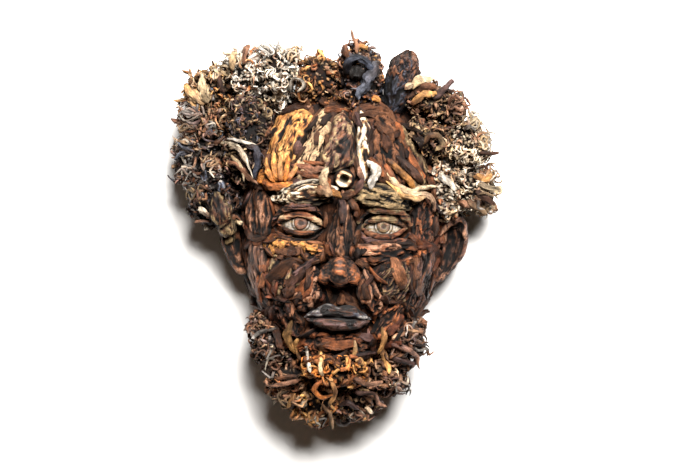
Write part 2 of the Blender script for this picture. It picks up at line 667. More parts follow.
# The plates, limbs and face pieces: how each is worked and its palette from dark to light
PIECES = {
    "head_block": (crumbled, "ground_wood", "black black soot soot cocoa", 0.0084),
    "forehead_orange": (scorched, "orange_wood", "soot umber rust ochre ochre honey", 0.0019),
    "forehead_grooved": (flaked, "tan_wood", "soot cocoa umber khaki sand sand", 0.0019),
    "forehead_slab": (holed, "grey_wood", "black soot cocoa umber plum khaki", 0.0020),
    "forehead_strip": (scorched, "tan_wood", "soot umber honey cream bone", 0.0020),
    "forehead_bark": (flaked, "dark_bark", "black soot cocoa cocoa umber umber", 0.0020),
    "forehead_edge": (fibrous, "dark_bark", "black soot cocoa cocoa olive khaki", 0.0020),
    "temple_root": (scorched, "orange_wood", "cocoa rust ochre orange", 0.0020),
    "temple_left": (worn, "red_bark", "black soot cocoa umber umber pink", 0.0020),
    "temple_right": (cracked, "red_bark", "black soot red cocoa umber rust", 0.0020),
    "brow_left": (fibrous, "pale_wood", "soot umber khaki cream bone", 0.0018),
    "brow_right": (flaked, "dark_bark", "black soot olive olive khaki khaki", 0.0018),
    "nose_bridge": (fibrous, "red_bark", "soot cocoa umber umber pink", 0.0019),
    "under_eye_left": (cracked, "orange_wood", "soot cocoa umber rust ochre", 0.0019),
    "under_eye_right": (fibrous, "red_bark", "black soot cocoa red umber rust pink", 0.0019),
    "cheek_bark_left": (cracked, "dark_bark", "black soot cocoa umber plum khaki", 0.0019),
    "cheek_burl_right": (burled, "dark_bark", "black soot cocoa plum umber khaki", 0.0019),
    "fold_left": (cracked, "red_bark", "black soot cocoa red umber rust pink", 0.0019),
    "fold_right": (fibrous, "red_bark", "black soot cocoa red umber rust pink", 0.0019),
    "jaw_strip_left": (worn, "red_bark", "black soot cocoa umber plum pink", 0.0020),
    "jaw_strip_right": (fibrous, "dark_bark", "black soot cocoa umber plum", 0.0020),
    "lower_cheek_left": (cracked, "red_bark", "black soot cocoa red umber", 0.0020),
    "lower_cheek_right": (flaked, "dark_bark", "black soot cocoa umber rust", 0.0020),
    "chin_plate": (cracked, "red_bark", "black soot cocoa umber red rust", 0.0019),
    "ear_left": (worn, "red_bark", "soot cocoa umber umber pink", 0.0020),
    "ear_right": (worn, "red_bark", "soot cocoa umber plum pink", 0.0020),
    "nose_tip": (worn, "nose_wood", "black soot soot cocoa umber rust", 0.0016),
    "upper_lip": (scorched, "lip_wood", "black black soot cocoa slate ash", 0.0013),
    "lower_lip": (scorched, "lip_wood", "black black soot cocoa plum", 0.0013),
    "upper_lid_left": (worn, "red_bark", "soot cocoa umber red rust sand", 0.0013),
    "upper_lid_right": (worn, "tan_wood", "black soot umber olive khaki", 0.0013),
    "lower_lid_left": (worn, "red_bark", "soot cocoa umber rust", 0.0013),
    "lower_lid_right": (worn, "red_bark", "soot cocoa red umber", 0.0013),
    "upper_fold_left": (fibrous, "dark_bark", "black soot cocoa umber plum", 0.0015),
    "upper_fold_right": (fibrous, "dark_bark", "black soot cocoa umber olive", 0.0015),
    "lower_fold_left": (fibrous, "red_bark", "black soot cocoa umber rust", 0.0015),
    "lower_fold_right": (fibrous, "red_bark", "black soot red umber plum", 0.0015),
    "eye_left": (turned, "eye_wood", "cocoa olive khaki ash ash", 0.0014),
    "eye_right": (turned, "eye_wood", "cocoa olive khaki ash ash", 0.0014),
    "pupil_left": (pupil, "pupil_wood", "black soot cocoa cocoa umber", 0.0008),
    "pupil_right": (pupil, "pupil_wood", "black soot cocoa umber olive", 0.0008),
    "knot_ring": (ringed, "pale_wood", "black umber sand cream bone", 0.0010),
    "burl_knobs": (worn, "root_dark", "black soot cocoa cocoa olive khaki", 0.0019),
    "slate_knobs": (worn, "root_dark", "black soot slate steel ash", 0.0017),
    "pale_block": (worn, "root_pale", "umber ash bone white", 0.0016),
    "hair_stump": (stumped, "root_dark", "black slate soot cocoa cocoa umber", 0.0020),
}
# Pieces of fine relief, how the dense copies are rounded, and how far their surfaces wander and are worked
FINE = {"eye_left", "eye_right", "pupil_left", "pupil_right", "knot_ring"}
ROUNDS, FINE_ROUNDS = 6, 3
WANDER, WANDER_SIZE = 0.0016, 0.014
RELIEF, STRIP_RELIEF, FINE_RELIEF = 1.0, 0.8, 0.35
CREASE = 45
# The height over the wall up to which a back stays flat, and how far the grain shifts from piece to piece
BACK, FIBRE_SHIFT = 0.004, 0.11

# How the tones of a piece are spread, darkened and shaded, and the size of the hollows that count
TONE_SPREAD = 1.6
BARKS, BARK_DARKER = ("dark_bark", "red_bark", "grey_wood", "root_dark", "lip_wood"), 0.20
BROAD_TONE, BROAD_SIZE, BROAD_SEED = 0.16, 0.035, 77
STEEP_SHADE, STEEP_FACING, HOLLOW_SHADE, EDGE_LIGHT = 1.0, 0.75, 2.4, 0.50
HOLLOW_SIZE, HOLLOW_ROUNDS = 0.0008, 9


def hollowness(points, faces, normals):
    """How deep each point lies in its surroundings, from below 0 on edges to above 0 in crevices."""
    a, b = np.concatenate([faces[:, [0, 1]], faces[:, [1, 2]], faces[:, [2, 0]]]).T
    count = np.bincount(a, minlength=len(points))
    smooth = points
    for _ in range(HOLLOW_ROUNDS):
        total = np.stack([np.bincount(a, smooth[b, k], len(points)) for k in range(3)], axis=1)
        smooth = 0.5 * smooth + 0.5 * total / count[:, None]
    return ((smooth - points) * normals).sum(axis=1) / HOLLOW_SIZE


# Forms moulded from lumps that run together: x, y in eye widths, then the height and half sizes in
# millimetres. A row that starts with BOTH is for two lumps, one on each side
BOTH = (-1, 1)
MOULDED = {
    "nose_tip": (
        (0.00, -1.06, 184, 16, 16, 22),
        (0.00, -0.82, 180, 14, 15, 21),
        (BOTH, 0.33, -1.12, 171, 11, 13, 17),
        (BOTH, 0.20, -1.02, 175, 13, 15, 17),
        (BOTH, 0.12, -0.90, 175, 13, 16, 18),
        (0.00, -1.20, 168, 9, 8, 16),
        (0.00, -1.08, 161, 26, 19, 12),
    ),
    "burl_knobs": (
        (-3.06, 0.60, 112, 12, 14, 12),
        (-2.98, 0.32, 108, 18, 24, 16),
        (-2.88, -0.02, 86, 15, 18, 17),
        (-2.84, -0.30, 64, 12, 14, 15),
    ),
    "slate_knobs": (
        (-3.40, 1.24, 95, 10, 14, 11),
        (-3.02, 0.92, 112, 9, 11, 10),
        (-3.34, 3.26, 98, 8, 14, 9),
    ),
    "pale_block": (
        (-2.38, 4.10, 101, 10, 8, 8),
        (-2.24, 4.16, 102, 9, 10, 7),
    ),
    "nose_bridge": (
        (0.00, 0.78, 163, 9, 14, 14),
        (0.00, 0.50, 168, 10, 18, 14),
        (0.00, 0.20, 173, 11, 19, 14),
        (0.00, -0.15, 178, 12.5, 19, 15),
        (0.00, -0.50, 181, 13.5, 17, 16),
        (BOTH, 0.10, -0.10, 161, 13, 34, 14),
        (BOTH, 0.14, -0.50, 164, 13, 18, 14),
    ),
}
HOLLOWS = {"nose_tip": ((BOTH, 0.17, -1.27, 174, 6.5, 6.0, 18),)}
HOLLOW_DEPTH, HOLLOW_DARK = 0.006, 1.2
MOULDED_ROUNDS, LUMP_STEPS = 26, 3


def both_sides(rows):
    """The rows, each that starts with BOTH turned into one for each side."""
    for row in rows:
        if row[0] == BOTH:
            yield from ((side * row[1], *row[2:]) for side in BOTH)
        else:
            yield row


def lump_mesh(rows):
    """One mesh of the lumps of a moulded piece."""
    lumped = bmesh.new()
    for x, y, height, *half in both_sides(rows):
        place = Matrix.Translation(on_head(x, y, height * MM)) @ Matrix.Rotation(HEAD_TURN, 4, "Z")
        size = Matrix.Diagonal((*(h * MM for h in half), 1))
        bmesh.ops.create_icosphere(lumped, subdivisions=LUMP_STEPS, radius=1, matrix=place @ size)
    mesh = bpy.data.meshes.new("lumps")
    lumped.to_mesh(mesh)
    lumped.free()
    return mesh


# Lids, folds and lips bent from single strips: rows of x, y in eye widths with the height, the half width and
# the half thickness in millimetres, from the inner corner of the eye outwards
EYE_STRIPS = {
    "upper_lid": (
        (-0.55, -0.07, 141.0, 2.0, 2.6), (-0.38, 0.09, 146.5, 4.4, 4.0), (-0.12, 0.20, 149.5, 5.8, 4.8),
        (0.16, 0.205, 149.5, 6.0, 4.8), (0.40, 0.10, 146.5, 5.0, 4.2), (0.58, -0.03, 141.0, 2.4, 2.8),
    ),
    "lower_lid": (
        (-0.52, -0.09, 141.0, 1.8, 2.4), (-0.34, -0.185, 145.5, 3.4, 3.4), (0.0, -0.25, 147.5, 4.4, 3.8),
        (0.34, -0.175, 145.5, 3.8, 3.4), (0.54, -0.04, 141.0, 2.0, 2.4),
    ),
    "upper_fold": (
        (-0.62, 0.06, 147.0, 2.8, 3.6), (-0.40, 0.31, 153.0, 4.8, 5.0), (0.0, 0.42, 157.0, 6.4, 5.6),
        (0.42, 0.31, 153.0, 5.6, 5.0), (0.68, 0.04, 145.0, 3.0, 3.8),
    ),
    "lower_fold": (
        (-0.58, -0.15, 146.0, 2.6, 3.4), (-0.32, -0.37, 150.5, 4.4, 4.2), (0.02, -0.45, 152.0, 5.4, 4.6),
        (0.38, -0.37, 150.5, 4.8, 4.2), (0.66, -0.12, 145.0, 2.8, 3.4),
    ),
}
UPPER_LIP_SIDE = (
    (0.79, -2.115, 153.0, 1.6, 4.0), (0.52, -2.015, 161.0, 6.0, 9.5), (0.22, -1.925, 164.5, 8.8, 12.0),
)
UPPER_LIP_MIDDLE = (0.0, -1.965, 165.5, 7.0, 12.0)
LOWER_LIP_SIDE = (
    (0.75, -2.145, 152.0, 1.6, 4.0), (0.45, -2.215, 160.0, 7.6, 10.0), (0.16, -2.245, 164.0, 10.6, 12.0),
)


def whole_lip(side, *middle):
    """A lip's rows from the viewer's left to right, from those of its right side."""
    return (*((-x, *rest) for x, *rest in side), *middle, *reversed(side))


# Where each strip is counted from, which side it is for, and its rows
STRIPS = {
    "upper_lip": ((0, 0), 1, whole_lip(UPPER_LIP_SIDE, UPPER_LIP_MIDDLE)),
    "lower_lip": ((0, 0), 1, whole_lip(LOWER_LIP_SIDE)),
}
for side_name, side in (("left", -1), ("right", 1)):
    for strip, rows in EYE_STRIPS.items():
        STRIPS[f"{strip}_{side_name}"] = ((side, EYES_Y), side, rows)
STRIP_RINGS, STRIP_SIDES = 40, 16
JUST_INSIDE = 1e-9


def smooth_path(rows, count):
    """A smooth run of count rows through a few given ones."""
    rows = np.asarray(rows, float)
    ends = np.vstack([2 * rows[0] - rows[1], rows, 2 * rows[-1] - rows[-2]])
    place = np.linspace(0, len(rows) - 1 - JUST_INSIDE, count)
    i = place.astype(int)
    f = (place - i)[:, None]
    a, b, c, d = ends[i], ends[i + 1], ends[i + 2], ends[i + 3]
    return 0.5 * (2 * b + (c - a) * f + (2 * a - 5 * b + 4 * c - d) * f**2 + (3 * b - a - 3 * c + d) * f**3)


def strip_mesh(name):
    """The smooth strip that a lid, fold or lip is worked from."""
    (at_x, at_y), side, rows = STRIPS[name]
    rows = smooth_path(rows, STRIP_RINGS)
    path = np.array([on_head(at_x + x * side, at_y + y, z * MM) for x, y, z in rows[:, :3]])
    plain = np.zeros((1, 3))
    wide, thick = rows[None, :, 3] * MM, rows[None, :, 4] * MM
    wood = Wood()
    tubes(wood, path[None], wide, thick, np.array([(0.0, 0.0, 1.0)]), plain, plain, STRIP_SIDES, 0.0, 0.0, 0)
    mesh = bpy.data.meshes.new("strip")
    mesh.from_pydata(wood.points[0].tolist(), [], wood.faces[0].tolist())
    return mesh


def carved(name, seed):
    """Dresses one CAD piece: a dense copy, or its moulded lumps, worked and stained."""
    way, slot, palette, size = PIECES[name]
    fine = name in FINE
    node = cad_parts.get(name)
    if name in MOULDED:
        mesh, rounds = lump_mesh(MOULDED[name]), MOULDED_ROUNDS
    elif name in STRIPS:
        mesh, rounds = strip_mesh(name), FINE_ROUNDS
    else:
        mesh, rounds = node.data, FINE_ROUNDS if fine else ROUNDS
    points, faces, normals = dense(mesh, size, rounds)
    middle, axes = own_axes(points)
    q = (points - middle) @ axes
    height, depth, tone = way(q, seed)
    for x, y, z, *half in both_sides(HOLLOWS.get(name, ())):
        near = (points - on_head(x, y, z * MM)) / (np.array(half) * MM)
        hollow = np.clip(1 - (near**2).sum(axis=1), 0, 1)
        points = points - normals * HOLLOW_DEPTH * hollow[:, None]
        depth = depth + HOLLOW_DARK * hollow
    wander = strayed(points, WANDER_SIZE, seed + 40, 2)
    keep = np.clip((points[:, 2] - BACK) / BACK, 0, 1)[:, None]
    relief = FINE_RELIEF if fine else STRIP_RELIEF if name in STRIPS else RELIEF
    points = points + keep * relief * (WANDER * wander + normals * height[:, None])
    tone = 0.5 + TONE_SPREAD * (tone - 0.5) - (BARK_DARKER if slot in BARKS else 0)
    if not fine:
        hollow = hollowness(points, faces, normals)
        facing = normals @ unit(normals[normals[:, 2] > 0].mean(axis=0))
        tone = tone + BROAD_TONE * lumps(points, BROAD_SIZE, BROAD_SEED)
        depth = depth + STEEP_SHADE * np.clip(1 - facing / STEEP_FACING, 0, 1)
        depth = depth + HOLLOW_SHADE * np.clip(hollow, 0, 1)
        tone = tone + EDGE_LIGHT * dips(hollow)
    wood = Wood()
    wood.add(points, faces, stained(palette, tone), depth, q + seed * FIBRE_SHIFT)
    return wood.made(name + "_wood", slot, (name,) if node else (), CREASE)


for number, piece_name in enumerate(PIECES):
    carved(piece_name, 100 + 7 * number)


# How far apart the points are that things grow from, and how many grow where it is covered or on undersides
SEED_SIZE, SEED_ROUNDS, RAY_LIFT_MM = 0.0045, 3, 2
COVERED_SHARE, UNDER_SHARE, UNDERSIDE = 0.10, 0.2, -0.3


def open_places(name, reach):
    """Points over a node with their normals, and how much each is in the open, with nothing in reach."""
    points, _, normals = dense(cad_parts[name].data, SEED_SIZE, SEED_ROUNDS)
    share = np.where(normals[:, 2] < UNDERSIDE, UNDER_SHARE, 1.0)
    for i, (point, normal) in enumerate(zip(points, normals)):
        out = Vector(normal)
        if ALL_SURFACE.ray_cast(Vector(point) + out * RAY_LIFT_MM * MM, out, reach)[0] is not None:
            share[i] = COVERED_SHARE
    return points, normals, share


# Slips of bark and splinters that lie over the joints of the plates: slot, palette, how far apart they are,
# how many flakes lie on each plate, and the plates
SLIPS = {
    "forehead_slips": (
        "tan_wood", "umber cocoa umber soot plum", 0.034, 0,
        "forehead_orange forehead_grooved forehead_slab forehead_strip temple_root",
    ),
    "forehead_bark_slips": (
        "dark_bark", "cocoa umber soot cocoa rust", 0.022, 2,
        "forehead_bark forehead_edge",
    ),
    "brow_slips": (
        "red_bark", "umber red rust cocoa plum", 0.020, 1,
        "brow_left brow_right temple_left temple_right",
    ),
    "nose_slips": (
        "red_bark", "red umber plum cocoa rust", 0.020, 1,
        "nose_bridge fold_left fold_right",
    ),
    "left_cheek_slips": (
        "red_bark", "cocoa umber umber rust red umber", 0.020, 1,
        "under_eye_left cheek_bark_left lower_cheek_left jaw_strip_left",
    ),
    "right_cheek_slips": (
        "dark_bark", "cocoa soot umber umber red rust", 0.020, 1,
        "under_eye_right cheek_burl_right lower_cheek_right jaw_strip_right",
    ),
    "chin_slips": (
        "red_bark", "umber cocoa rust soot plum umber", 0.017, 2,
        "chin_plate",
    ),
}
KEPT_CLEAR = ("eye_", "pupil_", "upper_", "lower_l", "nose_tip", "knot_", "brow_")
SLIP_LENGTH, SLIP_HALF_WIDTH, SLIP_HALF_THICK = (0.014, 0.044), (0.0028, 0.0072), (0.0020, 0.0042)
SLIP_RINGS, SLIP_SIDES = 10, 10
# How slips lie: how they stray along and across the outline, turn, bend, tilt, taper and sink in
SLIP_ASIDE, SLIP_PLACE, FLAKE_PLACE = 0.4, (0.86, 1.06), 0.6
SLIP_TURN, FLAKE_TURN, SLIP_CURVE = 0.22, 0.18, 0.10
SLIP_SUNK, SLIP_TILT, SLIP_TAPER, SLIP_UNEVEN = (0.1, 0.9), (-0.001, 0.004), (0.08, 0.35), 0.25
FLAKE_WIDER, FLAKE_LONGER = 1.5, 1.3
# What slips and chips share: how blunt their ends are, their tilt, light and dark stains and their grain
BLUNT_WIDE, BLUNT_THICK = 0.68, 0.62
BARK_TILT = 0.35
BARK_STAINS, SLIP_TIPS, CHIP_TIPS = (0.2, 1.1), (0.5, 2.8), (0.5, 2.2)
BARK_ROUGH, BARK_SQUARE, BARK_TWIST, BARK_UNDER, BARK_CREASE = 0.42, 0.5, 8.0, 0.9, 38
SLIP_SHADE, SLIP_RAGGED, CHIP_SHADE, CHIP_RAGGED = 0.05, 0.0040, 0.20, 0.0036
# The height on the mask's side that things reach down to where they lie past its edge
SIDE_HEIGHT = 0.06


def laid(flat_places, bend, fall=None):
    """Lays points in plan on the mask as a curve of degree bend, with the owners of what they lie on.

    With a fall the path goes down no more steeply than that, and so reaches out past an edge.
    """
    heights, owners, normal = [], set(), Vector((0, 0, 0))
    for i, (x, y) in enumerate(flat_places):
        point, out, face, _ = ALL_SURFACE.ray_cast(Vector((x, y, TOP)), Vector((0, 0, -1)))
        if point is None:
            point, out, face, _ = ALL_SURFACE.find_nearest(Vector((x, y, SIDE_HEIGHT)))
        height = point.z
        if i and fall is not None:
            height = max(height, heights[-1] - fall * math.dist(flat_places[i - 1], (x, y)))
        heights.append(height)
        owners.add(SURFACE_OWNERS[face])
        normal += out
    run = np.linspace(-1, 1, len(heights))
    heights = np.polyval(np.polyfit(run, heights, bend), run)
    return np.column_stack([flat_places, heights]), owners, normal.normalized()


def tapered(run, power):
    """How wide a slip is along its run from -1 to 1, before its ends are made blunt."""
    return np.maximum(np.cos(run * math.pi / 2), 0) ** power


def bark(name, slot, palette, rows, seed, sides, shade, ragged, tips):
    """Pieces of bark, each of its own stain, from rows of path, half widths, half thicknesses and way up."""
    paths, wides, thicks, ups = (np.array(column) for column in zip(*rows))
    numbers = np.random.default_rng(seed)
    chosen = drawn(numbers, palette, len(paths)) * numbers.uniform(*BARK_STAINS, (len(paths), 1))
    ends = chosen * numbers.uniform(*tips, (len(paths), 1))
    wood = Wood()
    tubes(
        wood, paths, wides, thicks, unit(ups), chosen, ends, sides, shade, BARK_ROUGH, seed,
        ragged=ragged, square=BARK_SQUARE, twist=BARK_TWIST, under=BARK_UNDER,
    )
    return wood.made(name, slot, crease=BARK_CREASE)


def slips(name, seed):
    """Splinters round the outlines of some plates, and a few flakes along them."""
    slot, palette, spacing, flakes, plates = SLIPS[name]
    rng = random.Random(seed)
    rows = []
    run = np.linspace(-1, 1, SLIP_RINGS)
    for plate in plates.split():
        corners = np.array([v.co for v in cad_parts[plate].data.vertices])
        middle, axes = own_axes(corners)
        half = np.abs((corners - middle) @ axes).max(axis=0)
        round_it = 2 * math.pi * math.hypot(half[0], half[1]) / math.sqrt(2)
        count = int(round_it / spacing)
        for number in range(count + flakes):
            length = rng.uniform(*SLIP_LENGTH)
            wide = rng.uniform(*SLIP_HALF_WIDTH)
            if number < count:
                turn = (number + rng.uniform(-SLIP_ASIDE, SLIP_ASIDE)) / count * 2 * math.pi
                place = np.array((half[0] * math.cos(turn), half[1] * math.sin(turn)))
                place = place * rng.uniform(*SLIP_PLACE)
                way = math.atan2(half[1] * math.cos(turn), -half[0] * math.sin(turn))
                way += rng.gauss(0, SLIP_TURN)
            else:
                place = half[:2] * [rng.uniform(-FLAKE_PLACE, FLAKE_PLACE) for _ in range(2)]
                way = rng.gauss(0, FLAKE_TURN)
                wide *= FLAKE_WIDER
                length *= FLAKE_LONGER
            curve = rng.uniform(-SLIP_CURVE, SLIP_CURVE) * length
            flat = place + np.outer(run * length / 2, (math.cos(way), math.sin(way)))
            flat = flat + np.outer(curve * run**2, (-math.sin(way), math.cos(way)))
            path, owners, normal = laid(middle[:2] + flat @ axes[:2, :2].T, 2)
            if any(owner.startswith(KEPT_CLEAR) for owner in owners):
                continue
            thick = rng.uniform(*SLIP_HALF_THICK)
            lift = thick * rng.uniform(*SLIP_SUNK) + rng.uniform(*SLIP_TILT) * run * rng.choice((-1, 1))
            taper = tapered(run, rng.uniform(*SLIP_TAPER)) * (1 + SLIP_UNEVEN * run * rng.uniform(-1, 1))
            rows.append((
                path + np.outer(lift, normal),
                wide * np.maximum(taper, BLUNT_WIDE),
                thick * np.maximum(taper, BLUNT_THICK),
                tuple(normal + BARK_TILT * random_direction(rng)),
            ))
    return bark(name, slot, palette, rows, seed, SLIP_SIDES, SLIP_SHADE, SLIP_RAGGED, SLIP_TIPS)


# Chips that cover the block wherever nothing else lies on it
CHIP_COUNT = 330
CHIP_SLOTS = {
    "dark_chips": ("dark_bark", "soot cocoa umber umber black"),
    "red_chips": ("red_bark", "red umber cocoa rust umber"),
}
CHIP_HALF_LENGTH, CHIP_HALF_WIDTH, CHIP_HALF_THICK = (0.008, 0.020), (0.0034, 0.0076), (0.0022, 0.0042)
CHIP_RINGS, CHIP_SIDES = 8, 8
CHIP_REACH, CHIP_FLOOR, CHIP_TURN = 0.030, 0.010, 0.8
CHIP_SUNK, CHIP_TAPER = (0.0, 0.8), (0.08, 0.4)


def chips(name, seed):
    """Chips of bark, roughly upright, all over the open parts of the block."""
    slot, palette = CHIP_SLOTS[name]
    rng = random.Random(seed)
    places, outs, share = open_places("head_block", CHIP_REACH)
    share = np.where((share < 1) | (places[:, 2] < CHIP_FLOOR), 0.0, share)
    upright = Vector((UP.x, UP.y, 0))
    run = np.linspace(-1, 1, CHIP_RINGS)
    rows = []
    for i in rng.choices(range(len(share)), share, k=CHIP_COUNT // len(CHIP_SLOTS)):
        out = Vector(outs[i])
        heading = upright + CHIP_TURN * random_direction(rng)
        heading = (heading - heading.dot(out) * out).normalized()
        half, thick = rng.uniform(*CHIP_HALF_LENGTH), rng.uniform(*CHIP_HALF_THICK)
        path = np.array([ALL_SURFACE.find_nearest(Vector(places[i]) + heading * half * s)[0] for s in run])
        path = np.stack([np.polyval(np.polyfit(run, path[:, k], 2), run) for k in range(3)], axis=1)
        path = path + np.array(out) * thick * rng.uniform(*CHIP_SUNK)
        taper = tapered(run, rng.uniform(*CHIP_TAPER))
        rows.append((
            path,
            rng.uniform(*CHIP_HALF_WIDTH) * np.maximum(taper, BLUNT_WIDE),
            thick * np.maximum(taper, BLUNT_THICK),
            tuple(out + BARK_TILT * random_direction(rng)),
        ))
    return bark(name, slot, palette, rows, seed, CHIP_SIDES, CHIP_SHADE, CHIP_RAGGED, CHIP_TIPS)


def tangential(x, y, radius, degrees, length, lift, half):
    """The rows of a short limb that lies along a circle round x, y."""
    turn = math.radians(degrees)
    middle = (x + radius * math.cos(turn), y + radius * math.sin(turn))
    way = (-math.sin(turn) * length / 2, math.cos(turn) * length / 2)
    ends = ((-1, 0.7), (0, 1.0), (1, 0.6))
    return [(middle[0] + s * way[0], middle[1] + s * way[1], lift, half * width) for s, width in ends]


# The bark round the ring knot: the stain, the tip's stain, the radius from the knot, the turn in degrees, the
# length in eye widths, and the lift and the half width in millimetres
KNOT_AT, COLLAR_FLAT = (0.0, 1.24), 0.9
KNOT_COLLAR = (
    ("cocoa", "rust", 0.4, 195, 0.34, 5, 5.0),
    ("umber", "ochre", 0.42, 242, 0.36, 6, 5.4),
    ("soot", "umber", 0.4, 288, 0.36, 6, 5.4),
    ("cocoa", "plum", 0.41, 335, 0.38, 6, 5.0),
    ("plum", "pink", 0.42, 20, 0.34, 5, 4.4),
    ("soot", "cocoa", 0.42, 155, 0.3, 4, 4.4),
)


def limb_rows(text):
    """The limbs of a table, one after another. A row that ends in a comma goes on in the next line."""
    for line in text.replace(",\n", ",").strip().splitlines():
        look, rows = line.split(":")
        stain, tip, flat = look.split()
        yield stain, tip, float(flat), [[float(value) for value in row.split()] for row in rows.split(",")]


